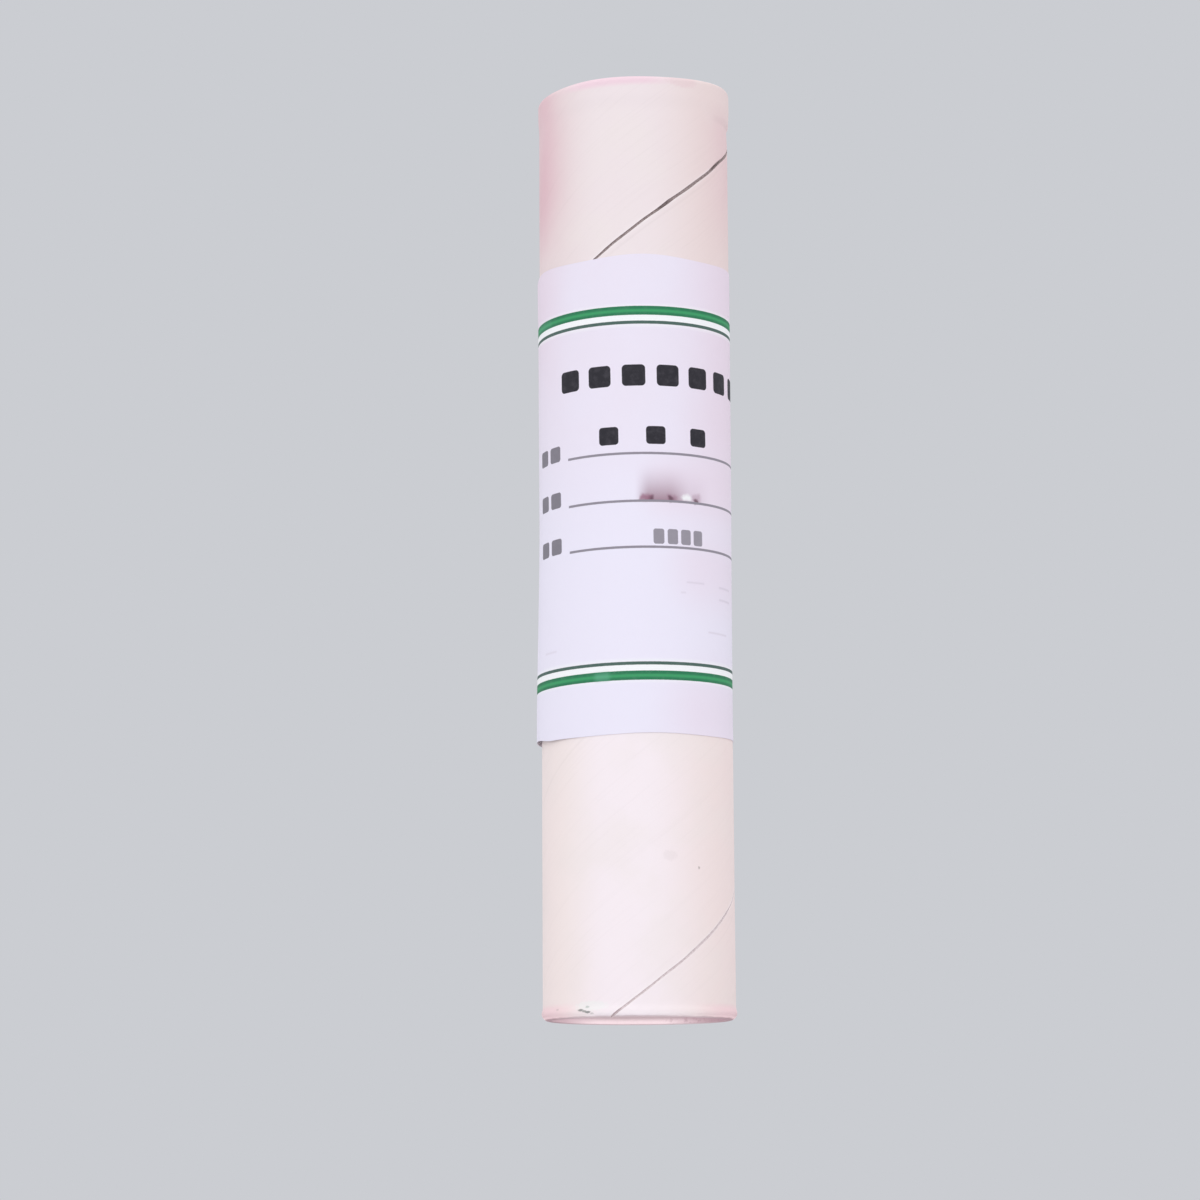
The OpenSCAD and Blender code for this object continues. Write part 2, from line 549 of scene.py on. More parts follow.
# How far each end's disc is dished, and its rings of faces, as shares of its radius
DISC_DISH = 0.15 * MM
DISC_RINGS = (0.97, 0.85, 0.65, 0.45, 0.25, 0.1)

# On the right the wall stands out above an edge, below which it is pressed in
LIP_TURN = math.radians(92)
LIP_H = 6.2 * MM
LIP_OUT = 0.2 * MM
DENT_H = 4.5 * MM
DENT_IN = 0.12 * MM


def squeeze(angle, height):
    """How far the tightly wrapped label presses the wall in on its right, near its lower
    edge."""
    side = max(0.0, math.sin(angle)) ** 2
    over_edge = smooth_step(height - label_rise, -2 * MM, 3 * MM)
    low = 1 - smooth_step(height - label_rise, 15 * MM, 50 * MM)
    return SQUEEZE * side * over_edge * low


def unevenness(angle, height):
    """How far the hand-made wall stands off a true cylinder."""
    broad = ripple(angle, height, 1.1, 60 * MM, 3.0) * 0.05 * MM
    fine = ripple(angle, height, 3.0, 12 * MM, 9.0) * 0.018 * MM
    raised = smooth_step(height, label_low.z, label_high.z)
    off_foot = smooth_step(height, 0.8 * MM, 2.6 * MM)
    thicker = broad + fine + UPPER_SWELL * raised
    thinner = LOWER_SHRINK * (1 - raised) * off_foot
    return thicker - thinner - squeeze(angle, height)


def lip(angle, below_end):
    """How far the wall stands out on the right at a distance below the upper end."""
    side = smooth_step(math.cos(angle - LIP_TURN), 0.72, 0.95)
    out = 1 - smooth_step(below_end, LIP_H - 0.3 * MM, LIP_H + 0.1 * MM)
    pressed = smooth_step(below_end, LIP_H - 0.3 * MM, LIP_H + 0.3 * MM)
    pressed *= 1 - smooth_step(below_end, LIP_H, LIP_H + DENT_H)
    return side * (out * LIP_OUT - pressed * DENT_IN)


def wall_radius(angle, height, below_end):
    """The wall's radius, with the spread bands at its two ends and the lip."""
    base = BASE_SPREAD * (1 - smooth_step(height, BASE_SPREAD_H * SPREAD_RAMP, BASE_SPREAD_H))
    top = TOP_SPREAD * (1 - smooth_step(below_end, TOP_SPREAD_H * SPREAD_RAMP, TOP_SPREAD_H))
    return tube_r + base + top + lip(angle, below_end) + unevenness(angle, height)


def edge_round(angle, upper):
    """The radius of a rim's worn outer edge in a direction."""
    if upper:
        return UPPER_ROUND - UPPER_ROUND_CHANGE * math.sin(angle)
    return LOWER_ROUND - LOWER_ROUND_CHANGE * math.cos(2 * angle)


def rim_profile(outer_r, rounding):
    """From the disc out to the wall: each point's radius and depth below the rim."""
    flat_start = disc_r + RIM_BEVEL
    flat_end = outer_r - rounding
    points = [
        (disc_r, DISC_RECESS),
        (disc_r, DISC_RECESS * 2 / 3),
        (disc_r, DISC_RECESS / 3),
        (disc_r, RIM_BEVEL),
        (flat_start, 0.0),
        ((flat_start + flat_end) / 2, 0.0),
        (flat_end, 0.0),
    ]
    for i in range(1, BEND_STEPS + 1):
        bend = i / BEND_STEPS * math.pi / 2
        points.append((flat_end + rounding * math.sin(bend), rounding * (1 - math.cos(bend))))
    return points


def end_point(angle, radius, depth, upper):
    """A point of an end, at a depth below that end's plane."""
    point = on_tube(radius, angle, 0.0)
    if upper:
        on_rim = 1.0 if radius > disc_r else max(0.0, 1 - depth / DISC_RECESS)
        point.z = upper_end(point) + edge_wave(angle) * on_rim - depth
    else:
        point.z = depth
    return point


def end_disc(bm, edge_ring, upper):
    """The disc inside a rim, dished a little towards its middle."""
    ring = edge_ring
    for share in DISC_RINGS:
        depth = DISC_RECESS + DISC_DISH * (1 - share * share)
        points = [end_point(angle, disc_r * share, depth, upper) for angle in TUBE_ANGLES]
        inner = [bm.verts.new(point) for point in points]
        bridge(bm, ring, inner, DISC)
        ring = inner
    centre = bm.verts.new(end_point(0.0, 0.0, DISC_RECESS + DISC_DISH, upper))
    for i in range(TUBE_COLUMNS):
        face = bm.faces.new((ring[i], ring[(i + 1) % TUBE_COLUMNS], centre))
        face.material_index = DISC
        face.smooth = True


def end_rim(bm, upper):
    """An end's disc and rim. Returns the ring where the rim meets the wall."""
    columns = []
    for angle in TUBE_ANGLES:
        rounding = edge_round(angle, upper)
        meets = end_point(angle, tube_r, rounding, upper).z
        outer_r = wall_radius(angle, meets, rounding if upper else cut_z - meets)
        profile = rim_profile(outer_r, rounding)
        columns.append([bm.verts.new(end_point(angle, r, depth, upper)) for r, depth in profile])
    rings = list(zip(*columns))
    for ring_a, ring_b, material in zip(rings, rings[1:], RIM_ROWS):
        bridge(bm, ring_a, ring_b, material)
    end_disc(bm, rings[0], upper)
    return rings[-1]


def wall_rings(bm):
    """The rings of the wall between the two rims. The upper ones slant as that end does."""
    rings = []
    for row in range(1, WALL_ROWS):
        even = row / WALL_ROWS
        share = even - ROW_CROWDING * math.sin(TURN * even) / TURN
        ring = []
        for angle in TUBE_ANGLES:
            end = upper_end(on_tube(tube_r, angle, 0.0)) + edge_wave(angle)
            bottom = edge_round(angle, upper=False)
            top = end - edge_round(angle, upper=True)
            height = bottom + (top - bottom) * share
            radius = wall_radius(angle, height, end - height)
            ring.append(bm.verts.new(on_tube(radius, angle, height)))
        rings.append(ring)
    return rings


def wall_frame(angle, height):
    """The wall's point in a direction at a height, and the way out of the wall there. Near
    the lower end it follows the rim's rounding."""
    rounding = edge_round(angle, upper=False)
    height = max(0.0, height)
    radius = wall_radius(angle, height, cut_z - height)
    if height >= rounding:
        return on_tube(radius, angle, height), on_tube(1.0, angle, 0.0)
    bend = math.acos(1 - height / rounding)
    point = on_tube(radius - rounding * (1 - math.sin(bend)), angle, height)
    return point, on_tube(math.sin(bend), angle, -math.cos(bend))


# Along a seam, in degrees: where it sags, widens, deepens and is shut, and how far an
# opening reaches to each side of its middle
SAG_RANGE = (58, 85)
WIDEN_RANGE = (10, 45)
DEEPEN_RANGE = (0, 60)
SHUT_RANGE = (60, 72)
OPENING_REACH = 4.0
# The shares by which it is wider and deeper past those ranges and at an opening, and by
# which its width wavers
WIDENS = 0.2
DEEPENS = 0.3
OPENING_WIDENS = 0.2
OPENING_DEEPENS = 2.2
WAVERS = 0.2
# How far it wanders to each side, how wide its bottom is as a share of its width, and how
# far its cutter stands out of the wall
WANDERS = 0.12 * MM
BOTTOM_SHARE = 0.5
CUTTER_OVERHANG = 0.4 * MM


def seam_section(degrees, at_front, width, depth, sag, openings, shut):
    """The four corners of a cut across a seam's cutter, in a direction in degrees."""
    angle = math.radians(degrees)
    drop = sag * smooth_step(degrees, *SAG_RANGE)
    centre, out = wall_frame(angle, at_front + WIND_CLIMB * angle - drop)
    along = Vector((tube_r * math.cos(angle), tube_r * math.sin(angle), WIND_CLIMB))
    across = out.cross(along).normalized()
    centre += across * WANDERS * noise.noise(Vector((angle * 5, 40, at_front / MM)))

    opened = sum(math.exp(-(((degrees - opening) / OPENING_REACH) ** 2)) for opening in openings)
    gape = 1 + OPENING_WIDENS * opened + WIDENS * smooth_step(degrees, *WIDEN_RANGE)
    gape += WAVERS * noise.noise(Vector((angle * 9, at_front / MM, 0)))
    half = width / 2 * gape * (1 - shut * smooth_step(degrees, *SHUT_RANGE))
    deep = depth * (1 + OPENING_DEEPENS * opened + DEEPENS * smooth_step(degrees, *DEEPEN_RANGE))
    bottom = BOTTOM_SHARE * half
    mouth = half * (1 + (1 - BOTTOM_SHARE) * CUTTER_OVERHANG / deep)
    corners = ((CUTTER_OVERHANG, mouth), (CUTTER_OVERHANG, -mouth), (-deep, -bottom), (-deep, bottom))
    return [centre + out * rise + across * side for rise, side in corners]


def seam_cutter(name, material, first, last, at_front, width, depth, sag, openings, shut):
    """A thin wedge that winds round the tube along a seam, from one direction in degrees to
    another. It gapes at each opening, which is a direction in degrees too, sags on the
    right, and is narrower by a share past its right side, where the seam is shut."""
    bm = bmesh.new()
    rings = []
    for degrees in range(first, last + 1):
        section = seam_section(degrees, at_front, width, depth, sag, openings, shut)
        rings.append([bm.verts.new(corner) for corner in section])
    for ring_a, ring_b in zip(rings, rings[1:]):
        bridge(bm, ring_a, ring_b)
    bm.faces.new(rings[0])
    bm.faces.new(rings[-1])
    return new_object(name, bm, [material])


def cut_away(piece, cutters):
    """Cuts the cutters out of the piece, and removes them."""
    for cutter in cutters:
        cut = piece.modifiers.new(cutter.name, "BOOLEAN")
        cut.operation = "DIFFERENCE"
        cut.solver = "EXACT"
        cut.material_mode = "TRANSFER"
        cut.object = cutter
    bpy.context.view_layer.update()
    graph = bpy.context.evaluated_depsgraph_get()
    result = bpy.data.meshes.new_from_object(piece.evaluated_get(graph), depsgraph=graph)
    piece.modifiers.clear()
    piece.data = result
    for cutter in cutters:
        bpy.data.objects.remove(cutter)


def build_tube():
    """The whole tube as one closed mesh, with its two seams cut into the wall."""
    bm = bmesh.new()
    rings = [end_rim(bm, upper=False)] + wall_rings(bm) + [end_rim(bm, upper=True)]
    for ring_a, ring_b in zip(rings, rings[1:]):
        bridge(bm, ring_a, ring_b, PAPER)
    tube = new_object("pack_tube", bm, [wall_paper(), rim_board(), disc_board(), recess_lining()])
    upper_seam = seam_cutter(
        "upper_seam", seam_gap("upper_seam_gap", UPPER_GAP_DARK, UPPER_GAP_PALE),
        first=-45, last=142, at_front=UPPER_SEAM, width=0.47 * MM, depth=0.23 * MM,
        sag=0.9 * MM, openings=(19, 61), shut=0.0,
    )
    lower_seam = seam_cutter(
        "lower_seam", seam_gap("lower_seam_gap", LOWER_GAP_DARK, LOWER_GAP_PALE),
        first=-17, last=222, at_front=LOWER_SEAM, width=0.36 * MM, depth=0.11 * MM,
        sag=0.0, openings=(-14,), shut=0.6,
    )
    cut_away(tube, [upper_seam, lower_seam])
    tube.data.set_sharp_from_angle(angle=math.radians(35))
    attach(tube, "root")
    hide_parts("tube")


# ---------------- the label's materials

SHEET_MAP = "sheet"
# One unit of the sheet's map, which holds the distance to the right of the label's front
# and the distance up from its lower edge
SHEET_UNIT = 0.1

LABEL_PAPER = srgb(238, 234, 250)
LABEL_PAPER_WARM = srgb(237, 229, 244)
# Pink painted shade of the label's turning sides
LABEL_PINK_SHADE = srgb(236, 220, 235)
LABEL_BAND = srgb(248, 249, 252)
LABEL_BACK = srgb(240, 236, 244)
LABEL_EDGE = srgb(226, 219, 230)
GREEN_INK = srgb(38, 124, 84)
GREEN_CORE_INK = srgb(64, 168, 108)
FADED_GREEN = srgb(100, 174, 142)
DARK_GREEN_INK = srgb(78, 104, 96)
DARK_INK = srgb(44, 42, 50)
LINE_INK = srgb(146, 141, 152)
GREY_INK = srgb(122, 118, 128)
RED_INK = srgb(152, 102, 126)
MAUVE_INK = srgb(108, 76, 92)
SMEARED_INK = srgb(147, 105, 123)
# Painted shade of creases in the label
CREASE_SHADE = srgb(214, 204, 220)


def sheet_place(shade, bleed=0.0, per_metre=3500):
    """The place on the flat sheet in metres, (right, up, 0), moved a little by the fibres
    that ink follows."""
    node = shade.add("UVMap", uv_map=SHEET_MAP)
    place = shade.vector("MULTIPLY", node.outputs[0], (SHEET_UNIT, SHEET_UNIT, 0.0))
    if bleed == 0.0:
        return place
    shake = shade.noise(place, per_metre, output="Color")
    drift = shade.vector("SUBTRACT", shake, (0.5, 0.5, 0.5))
    return shade.vector("ADD", place, shade.vector("MULTIPLY", drift, (bleed, bleed, 0.0)))


# Longer than the label, in metres: the step of a block that isn't repeated
FAR = 1.0


def block_mask(shade, place, middle, size, soft, corner=0, step=(0, 0), count=(1, 1)):
    """1 inside blocks of a size with round corners, repeated at a step to the right and up,
    and fading softly over their edges. middle is the first block's middle. The lengths are
    in millimetres, and place is in metres."""
    steps = [step[i] * MM if count[i] > 1 else FAR for i in (0, 1)] + [FAR]
    from_first = shade.vector("SUBTRACT", place, (middle[0] * MM, middle[1] * MM, 0.0))
    ahead = shade.vector("DIVIDE", from_first, steps)
    nearest = shade.vector("FLOOR", shade.vector("ADD", ahead, (0.5, 0.5, 0.5)))
    kept = shade.vector("MINIMUM", nearest, (count[0] - 1, count[1] - 1, 0.0))
    kept = shade.vector("MAXIMUM", kept, (0.0, 0.0, 0.0))
    local = shade.vector("SUBTRACT", from_first, shade.vector("MULTIPLY", kept, steps))
    fade = soft * MM
    corner_r = max(corner * MM, fade)
    inner = (size[0] * MM / 2 - corner_r, size[1] * MM / 2 - corner_r, 0.0)
    beyond = shade.vector("SUBTRACT", shade.vector("ABSOLUTE", local), inner)
    apart = shade.vector("LENGTH", shade.vector("MAXIMUM", beyond, (0, 0, 0)), output=1)
    return shade.ramp(apart, corner_r - fade, corner_r + fade, 1.0, 0.0)


# Wide enough to go all round the label, and the height of the middle rule, in millimetres
WIDE = 400
MIDDLE_RULE = 39.62
# Each run of blocks: its ink and strength, the middle and size of its first block and how
# far its edges fade, and where there is more than one, its corners' radius, and its step and
# count to the right and up. Lengths are in millimetres. Two patches of pink painted shade on
# the label's right side come first, and the painted shade of creases last.
PRINTS_AND_SHADES = (
    # Patches of pink painted shade on the label's right side
    (LABEL_PINK_SHADE, 0.5, (18.5, 28.5), (22.0, 11.0), 5.0),
    (LABEL_PINK_SHADE, 0.5, (16.0, 3.0), (20.0, 14.0), 6.0),
    (LABEL_BAND, 0.5, (0, 71.8), (WIDE, 3.9), 0.35),
    (LABEL_BAND, 0.5, (0, 10.75), (WIDE, 3.9), 0.35),
    (LABEL_BAND, 1.0, (0, 71.35), (WIDE, 1.2), 0.04),
    (LABEL_BAND, 1.0, (0, 11.2), (WIDE, 1.2), 0.04),
    (GREEN_INK, 1.0, (0, 72.63), (WIDE, 1.57), 0.04),
    (GREEN_CORE_INK, 0.8, (0, 72.6), (WIDE, 0.5), 0.22),
    (DARK_GREEN_INK, 1.0, (0, 70.56), (WIDE, 0.56), 0.04),
    (DARK_GREEN_INK, 1.0, (0, 11.95), (WIDE, 0.54), 0.04),
    (GREEN_INK, 1.0, (0, 9.9), (WIDE, 1.57), 0.04),
    (GREEN_CORE_INK, 0.8, (0, 9.86), (WIDE, 0.5), 0.22),
    (FADED_GREEN, 0.6, (-5.9, 9.86), (2.8, 1.3), 0.6),
    (FADED_GREEN, 0.25, (-20.5, 72.6), (9.0, 1.3), 0.6),
    (LINE_INK, 1.0, (9.55, 31.73), (43.0, 0.42), 0.04, 0, (0, 16.1), (1, 2)),
    (LINE_INK, 1.0, (9.55, MIDDLE_RULE), (43.0, 0.42), 0.04),
    (DARK_INK, 1.0, (-11.25, 61.35), (4.0, 3.7), 0.04, 0.7, (5.95, 0), (7, 1)),
    (DARK_INK, 1.0, (-3.85, 50.95), (3.4, 3.1), 0.04, 0.6, (8.1, 0), (3, 1)),
    (GREY_INK, 0.95, (-19.3, 33.2), (3.0, 2.7), 0.04, 0.5, (3.9, 8.02), (2, 3)),
    (LINE_INK, 0.95, (4.4, 33.55), (1.9, 2.6), 0.04, 0.4, (2.5, 0), (4, 1)),
    # Painted shade of creases
    (CREASE_SHADE, 0.5, (11.3, 25.9), (3.8, 0.3), 0.15),
    (CREASE_SHADE, 0.4, (8.7, 24.1), (1.0, 0.3), 0.15),
    (CREASE_SHADE, 0.6, (19.6, 23.6), (4.6, 0.35), 0.17, 0, (0.4, 2.1), (1, 2)),
    (CREASE_SHADE, 0.5, (17.0, 17.7), (6.0, 0.3), 0.15),
    (CREASE_SHADE, 0.35, (-17.4, 15.2), (3.6, 0.35), 0.17),
)

# The smeared stamp stands on the middle rule, with soft marks along its foot, over a haze of
# pink painted shade on the label's right side. Each is given as a printed block is.
STAMP_FOOT = MIDDLE_RULE * MM
RIGHT_SIDE_SHADE_HAZE = ((LABEL_PINK_SHADE, 0.6, (14.0, 42.0), (22.0, 9.0), 4.0),)
STAMP_MARKS = (
    (RED_INK, 0.8, (2.35, 40.25), (2.2, 1.1), 0.4),
    (RED_INK, 0.45, (6.9, 40.25), (1.9, 1.0), 0.45),
    (RED_INK, 0.35, (11.8, 40.45), (1.9, 1.4), 0.5),
    (LABEL_BAND, 0.9, (9.75, 40.35), (1.9, 0.9), 0.4),
    (MAUVE_INK, 0.85, (3.25, 40.15), (0.8, 0.8), 0.35),
    (MAUVE_INK, 0.9, (6.65, 40.1), (0.95, 0.8), 0.35),
    (MAUVE_INK, 0.9, (11.6, 39.95), (0.9, 0.6), 0.3),
)
# Where the smear starts and ends, from the left and upwards: a distance's low and high ends,
# and the smear's share at each of them
SMEAR_ACROSS = (
    (0.2 * MM, 3.0 * MM, 0.0, 1.0),
    (6.0 * MM, 11.0 * MM, 1.0, 0.3),
    (11.0 * MM, 15.5 * MM, 1.0, 0.0),
)
SMEAR_UP = (
    (STAMP_FOOT - 5 * MM, STAMP_FOOT + 7 * MM, 1.36, 0.0),
    (STAMP_FOOT - 0.1 * MM, STAMP_FOOT + 0.15 * MM, 0.0, 1.0),
)


def add_blocks(shade, colour, place, runs, *wear):
    """Adds runs of blocks, of print and of painted shade, to a colour, at places on the flat
    sheet.
    """
    for ink, strength, *block in runs:
        share = shade.times(block_mask(shade, place, *block), strength, *wear)
        colour = shade.mix(share, colour, ink)
    return colour


def smeared_stamp(shade, colour):
    """Adds a haze of pink painted shade on the label's right side, then the smeared stamp: the
    smear, which is darkest at the rule and fades upwards and to the right, and soft marks along
    its foot."""
    place = sheet_place(shade)
    # Pink painted shade of the label's right side
    colour = add_blocks(shade, colour, place, RIGHT_SIDE_SHADE_HAZE)
    across, up, _ = shade.split(place)
    shares = [shade.ramp(up, *ends) for ends in SMEAR_UP]
    shares += [shade.ramp(across, *ends) for ends in SMEAR_ACROSS]
    colour = shade.mix(shade.times(*shares), colour, SMEARED_INK)
    uneven = sheet_place(shade, bleed=1.1 * MM, per_metre=900)
    return add_blocks(shade, colour, uneven, STAMP_MARKS)


# The heights between which the label's paper turns warmer
LABEL_CHANGE = (78 * MM, 104 * MM)
# Where painted shade makes the label pinker and darker, on its turning right side and high on
# the left: how far to the right this starts and is full, in tube radii, and its strength
# there, then the heights between which it grows and its shares at both
LABEL_SHADED_SIDES = (
    (0.3, 1.0, 0.9, (*LABEL_CHANGE, 0.12, 1.0)),
    (-0.6, -1.0, 0.8, (98 * MM, 122 * MM, 0.0, 1.0)),
)


def unprinted_paper(shade, x, z):
    """The label's paper: warmer high up, with painted shade that makes it pinker and darker
    on the right and high on the left.
    """
    clouds = shade.ramp(shade.noise(shade.place, 60, 3.0), 0.3, 0.7, 0.5, 1.0)
    raised = shade.times(shade.ramp(z, *LABEL_CHANGE), clouds)
    colour = shade.mix(raised, LABEL_PAPER, LABEL_PAPER_WARM)
    sides = []
    for start, full, most, heights in LABEL_SHADED_SIDES:
        side = beside(shade, x, start, full, most)
        sides.append(shade.times(side, shade.ramp(z, *heights)))
    return shade.mix(shade.math("MAXIMUM", *sides), colour, LABEL_PINK_SHADE)


def label_paper():
    """Smooth lavender-white paper with its print: two green bands, three rules, and plain
    blocks in place of lettering."""
    shade = Shade("label_print", 0.6)
    x, _, z = shade.split(shade.place)
    fibres = shade.noise(shade.place, 4200, 3.0, 0.6)
    colour = unprinted_paper(shade, x, z)
    colour = shade.mix(shade.ramp(fibres, 0.5, 0.8, 0.0, 0.08), colour, LABEL_EDGE)
    colour = smeared_stamp(shade, colour)

    place = sheet_place(shade, bleed=0.05 * MM)
    worn = shade.ramp(shade.noise(place, 900, 3.0, 0.6), 0.2, 0.6, 0.97, 1.0)
    # The runs hold print and painted shade: pink on the label's right, and creases
    colour = add_blocks(shade, colour, place, PRINTS_AND_SHADES, worn)
    return shade.finish(colour, fibres, 0.012 * MM)


def label_plain():
    """The label's bare side and its cut edges."""
    shade = Shade("label_back", 0.8)
    fibres = shade.noise(shade.place, 3500, 3.0, 0.6)
    colour = shade.mix(shade.ramp(fibres, 0.35, 0.65), LABEL_BACK, LABEL_EDGE)
    return shade.finish(colour, fibres, 0.02 * MM)


# ---------------- the label

# Columns of faces along the sheet, and rows up it
SHEET_COLUMNS = 320
SHEET_ROWS = 84
# The label's materials, by their number
PRINTED, PLAIN = 0, 1
# Where the label has come loose: it stands off the tube on the left, most at its lower edge,
# and a little more at its upper edge than between them
LOOSE_TURN = math.radians(-92)
LOOSE_REACH = math.radians(64)
LOOSE_BODY = 0.16 * MM
LOOSE_FOOT = 0.62 * MM
LOOSE_FOOT_H = 40 * MM
LOOSE_HEAD = 0.08 * MM
LOOSE_HEAD_H = 12 * MM


def looseness(angle, height):
    """The air between the tube and the label."""
    away = abs((angle - LOOSE_TURN + math.pi) % TURN - math.pi)
    if away >= LOOSE_REACH:
        return 0.0
    bulge = math.cos(away / LOOSE_REACH * math.pi / 2) ** 2
    foot = (1 - smooth_step(height - label_rise, 0.0, LOOSE_FOOT_H)) * LOOSE_FOOT
    head = (1 - smooth_step(label_rise + label_h - height, 0.0, LOOSE_HEAD_H)) * LOOSE_HEAD
    return bulge * (LOOSE_BODY + foot + head)


# The sheet's hand-cut upper edge wanders up and down in two waves, each with its height, its
# length and the place of a crest, and dips on the left. Its lower edge wanders with it by a
# share, and is cut higher on the left.
EDGE_WANDERS = ((0.22 * MM, 21.5 * MM, 2.6 * MM), (0.12 * MM, 47 * MM, MM))
LOWER_EDGE_SHARE = 0.4
LEFT_DIP = 0.6 * MM
LEFT_RISE = 1.1 * MM
# How far inside the label's height its two edges are, apart from their wander
UPPER_EDGE_ROOM = 0.3 * MM
LOWER_EDGE_ROOM = 0.1 * MM
# The air that the sheet leaves over its own inner end, and how far its outer end lifts
LAP_AIR = 0.01 * MM
LAP_LIFT = 0.10 * MM


def sheet_edges(across):
    """The distances up the sheet of its lower and upper edges."""
    waves = [high * math.cos(TURN * (across - crest) / long) for high, long, crest in EDGE_WANDERS]
    wander = sum(waves) - LEFT_DIP * smooth_step(-across, 19 * MM, 25 * MM)
    left_rise = LEFT_RISE * smooth_step(-across, 17 * MM, 25 * MM)
    lowest = LOWER_EDGE_SHARE * wander + LOWER_EDGE_ROOM + left_rise
    return lowest, label_h - UPPER_EDGE_ROOM + wander


def sheet_point(across, up, lift):
    """A point of the wrapped sheet: across is the distance to the right of its front along
    the paper, up the distance from its lower edge, and lift that from its inner side."""
    around = across * math.cos(LABEL_SKEW) - up * math.sin(LABEL_SKEW)
    height = label_rise + across * math.sin(LABEL_SKEW) + up * math.cos(LABEL_SKEW)
    angle = around / label_r
    lap_edge = sheet_start + TURN * label_r
    on_lap = smooth_step(across, lap_edge - 2.0 * MM, lap_edge - 0.2 * MM)
    at_end = smooth_step(across, sheet_end - 5 * MM, sheet_end)
    curl = 0.7 + 0.6 * ripple(angle, height, 0.0, 14 * MM, 5.0)
    radius = tube_r + unevenness(angle, height) + GLUE_FILM + looseness(angle, height)
    radius += on_lap * (PAPER_T + LAP_AIR) + at_end * LAP_LIFT * curl
    return on_tube(radius + lift, angle, height)


def sheet_side(bm, lift, places):
    """Columns of vertices at a lift from the wrapped sheet's inner side. Adds each one's
    place on the flat sheet's map to the places."""
    grid = []
    for column in range(SHEET_COLUMNS + 1):
        across = sheet_start + (sheet_end - sheet_start) * column / SHEET_COLUMNS
        lowest, highest = sheet_edges(across)
        line = []
        for row in range(SHEET_ROWS + 1):
            up = lowest + (highest - lowest) * row / SHEET_ROWS
            vert = bm.verts.new(sheet_point(across, up, lift))
            places[vert] = (across / SHEET_UNIT, up / SHEET_UNIT)
            line.append(vert)
        grid.append(line)
    return grid


def sheet_faces(bm, inner, outer):
    """The faces of both sides of the sheet and of its four edges."""
    def quad(corners, material):
        face = bm.faces.new(corners)
        face.material_index = material
        face.smooth = True

    for a in range(SHEET_COLUMNS):
        for b in range(SHEET_ROWS):
            quad((outer[a][b], outer[a + 1][b], outer[a + 1][b + 1], outer[a][b + 1]), PRINTED)
            quad((inner[a][b], inner[a][b + 1], inner[a + 1][b + 1], inner[a + 1][b]), PLAIN)
        for b in (0, SHEET_ROWS):
            quad((inner[a][b], inner[a + 1][b], outer[a + 1][b], outer[a][b]), PLAIN)
    for a in (0, SHEET_COLUMNS):
        for b in range(SHEET_ROWS):
            quad((inner[a][b], inner[a][b + 1], outer[a][b + 1], outer[a][b]), PLAIN)


def build_label():
    """The label as a sheet of paper with two sides, and a map of the flat sheet for its
    print."""
    bm = bmesh.new()
    uv = bm.loops.layers.uv.new(SHEET_MAP)
    places = {}
    inner = sheet_side(bm, 0.0, places)
    outer = sheet_side(bm, PAPER_T, places)
    sheet_faces(bm, inner, outer)
    for face in bm.faces:
        for loop in face.loops:
            loop[uv].uv = places[loop.vert]
    label = new_object("paper_label", bm, [label_paper(), label_plain()])
    label.data.set_sharp_from_angle(angle=math.radians(40))
    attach(label, "root")
    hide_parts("label")


# ---------------- stage, light and camera

BACKDROP = srgb(203, 205, 210)
# The floor lights the object as a pale floor does, and is seen in the backdrop's colour
FLOOR_PAPER = srgb(216, 217, 220)
FLOOR_SEEN = srgb(197, 199, 204)
# The floor's rings outside the tube, and how far it is below the tube's end
FLOOR_RADII = (base_r, 0.03, 0.1, 0.4, 1.6, 6.0)
FLOOR_SIDES = 96
FLOOR_DROP = 0.03 * MM

# The light from all round: each direction, the low and high ends of how much a place faces
# it, and what it adds at each end. More comes from the front, and a little more from below,
# where it reaches only the lower end.
WORLD_LIGHT = (
    ((-0.12, -0.99, 0.04), (0.0, 1.0, 0.0, 0.30)),
    ((0.0, 0.0, 1.0), (-0.1, 0.0, 1.04, 0.96)),
)
LAMP_STRENGTH = 0.19
LAMP_SPREAD = math.radians(35)
LAMP_SIDE = (-0.1, -0.8, 0.5)

# A long lens on a sensor 36 mm wide, its place in tube radii, and how it is turned, tilted
# up and rolled
LENS = 106.1
CAMERA_PLACE = Vector((0.0, -36.55, -1.62))
CAMERA_TURN = math.radians(0.598)
CAMERA_TILT = math.radians(9.33)
CAMERA_ROLL = math.radians(-0.33)


def floor_paper():
    """Pale paper, clear from below because the camera is a little below the tube's end."""
    shade = Shade("floor_paper", 0.9, 0.1)
    path = shade.add("LightPath")
    seen = path.outputs["Is Camera Ray"]
    for name in ("Is Glossy Ray", "Is Transmission Ray"):
        seen = shade.math("MAXIMUM", seen, path.outputs[name])
    shade.feed(shade.shader.inputs["Base Color"], shade.mix(seen, FLOOR_PAPER, FLOOR_SEEN))
    clear = shade.add("BsdfTransparent")
    side = shade.add("NewGeometry").outputs["Backfacing"]
    both = shade.add("MixShader")
    shade.feed(both.inputs[0], side)
    shade.feed(both.inputs[1], shade.shader.outputs[0])
    shade.feed(both.inputs[2], clear.outputs[0])
    shade.feed(shade.tree.nodes["Material Output"].inputs["Surface"], both.outputs[0])
    return shade.material


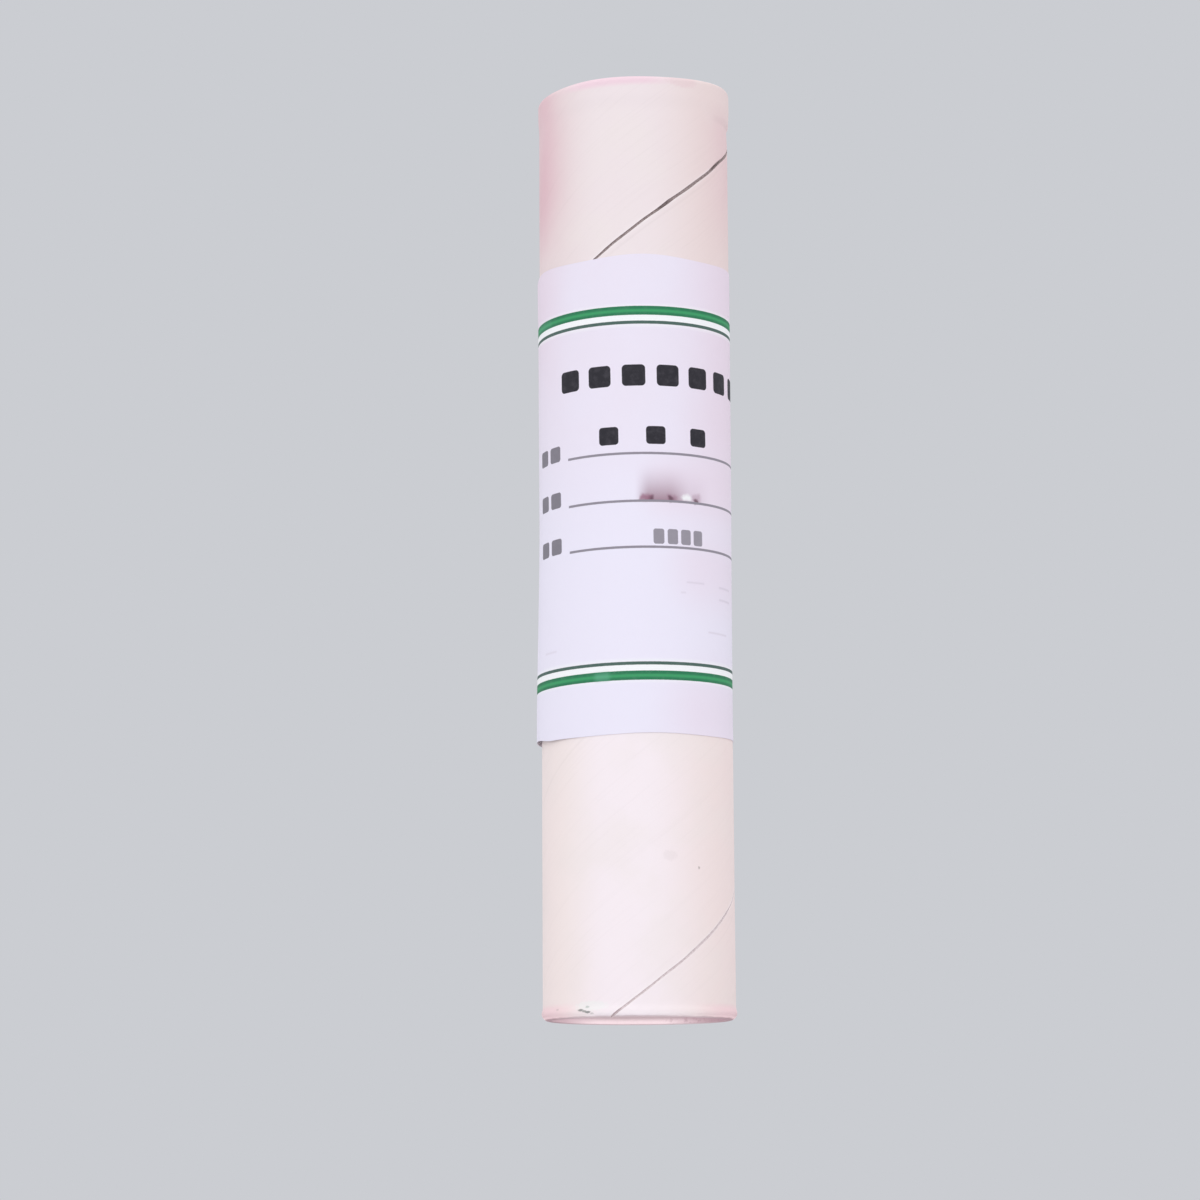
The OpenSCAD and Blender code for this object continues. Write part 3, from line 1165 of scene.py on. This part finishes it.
def floor_rings(name, radii, material):
    """A flat piece of floor round the tube's axis, facing up."""
    bm = bmesh.new()
    angles = [i / FLOOR_SIDES * TURN for i in range(FLOOR_SIDES)]
    rings = []
    for radius in radii:
        rings.append([bm.verts.new(on_tube(radius, angle, -FLOOR_DROP)) for angle in angles])
    for ring_a, ring_b in zip(rings, rings[1:]):
        bridge(bm, ring_a, ring_b)
    floor = new_object(name, bm, [material])
    for polygon in floor.data.polygons:
        if polygon.normal.z < 0:
            polygon.flip()
    return floor


def build_floor():
    """A wide pale floor. Under the tube's end only the camera sees it, so that this end is
    lit from all round."""
    material = floor_paper()
    floor_rings("floor", FLOOR_RADII, material)
    under_tube = floor_rings("floor_under_tube", (0.1 * MM, base_r), material)
    under_tube.visible_diffuse = False
    under_tube.visible_glossy = False
    under_tube.visible_transmission = False
    under_tube.visible_shadow = False


def build_world():
    """Soft light from all round, and a plain pale backdrop."""
    world = bpy.data.worlds.new("studio")
    bpy.context.scene.world = world
    world.use_nodes = True
    tree = world.node_tree
    tree.nodes.clear()

    def add(kind):
        return tree.nodes.new("ShaderNode" + kind)

    light = add("Background")
    light.inputs["Color"].default_value = (1.0, 1.0, 1.0, 1.0)
    backdrop = add("Background")
    backdrop.inputs["Color"].default_value = BACKDROP
    direction = add("TexCoord").outputs["Generated"]
    total = add("Math")
    for socket, (towards, ends) in zip(total.inputs, WORLD_LIGHT):
        facing = add("VectorMath")
        facing.operation = "DOT_PRODUCT"
        tree.links.new(direction, facing.inputs[0])
        facing.inputs[1].default_value = towards
        part = add("MapRange")
        for name, value in zip(RAMP_SOCKETS, ends):
            part.inputs[name].default_value = value
        tree.links.new(facing.outputs["Value"], part.inputs["Value"])
        tree.links.new(part.outputs["Result"], socket)
    tree.links.new(total.outputs[0], light.inputs["Strength"])
    path = add("LightPath")
    seen = path.outputs["Is Camera Ray"]
    for name in ("Is Glossy Ray", "Is Transmission Ray"):
        either = add("Math")
        either.operation = "MAXIMUM"
        tree.links.new(seen, either.inputs[0])
        tree.links.new(path.outputs[name], either.inputs[1])
        seen = either.outputs[0]
    both = add("MixShader")
    tree.links.new(seen, both.inputs[0])
    tree.links.new(light.outputs[0], both.inputs[1])
    tree.links.new(backdrop.outputs[0], both.inputs[2])
    tree.links.new(both.outputs[0], add("OutputWorld").inputs["Surface"])


def build_lamp():
    """A wide soft lamp from above the front, a little to the left, which gives the tube its
    faint shadow."""
    data = bpy.data.lights.new("key_lamp", "SUN")
    data.energy = LAMP_STRENGTH
    data.angle = LAMP_SPREAD
    lamp = bpy.data.objects.new("key_lamp", data)
    bpy.context.scene.collection.objects.link(lamp)
    lamp.location = LAMP_SIDE
    lamp.rotation_euler = (-lamp.location).to_track_quat("-Z", "Y").to_euler()


def build_camera():
    """A long lens from the front, a little below the tube's lower end."""
    data = bpy.data.cameras.new("camera")
    data.sensor_width = 36.0
    data.lens = LENS
    data.clip_start = 0.01
    camera = bpy.data.objects.new("camera", data)
    bpy.context.scene.collection.objects.link(camera)
    bpy.context.scene.camera = camera
    place = Matrix.Translation(CAMERA_PLACE * tube_r)
    turn = Matrix.Rotation(CAMERA_TURN, 4, "Z")
    tilt = Matrix.Rotation(math.pi / 2 + CAMERA_TILT, 4, "X")
    roll = Matrix.Rotation(CAMERA_ROLL, 4, "Z")
    camera.matrix_world = place @ turn @ tilt @ roll


build_camera()
build_tube()
build_label()
build_floor()
build_world()
build_lamp()

bpy.context.scene.view_settings.view_transform = "Standard"
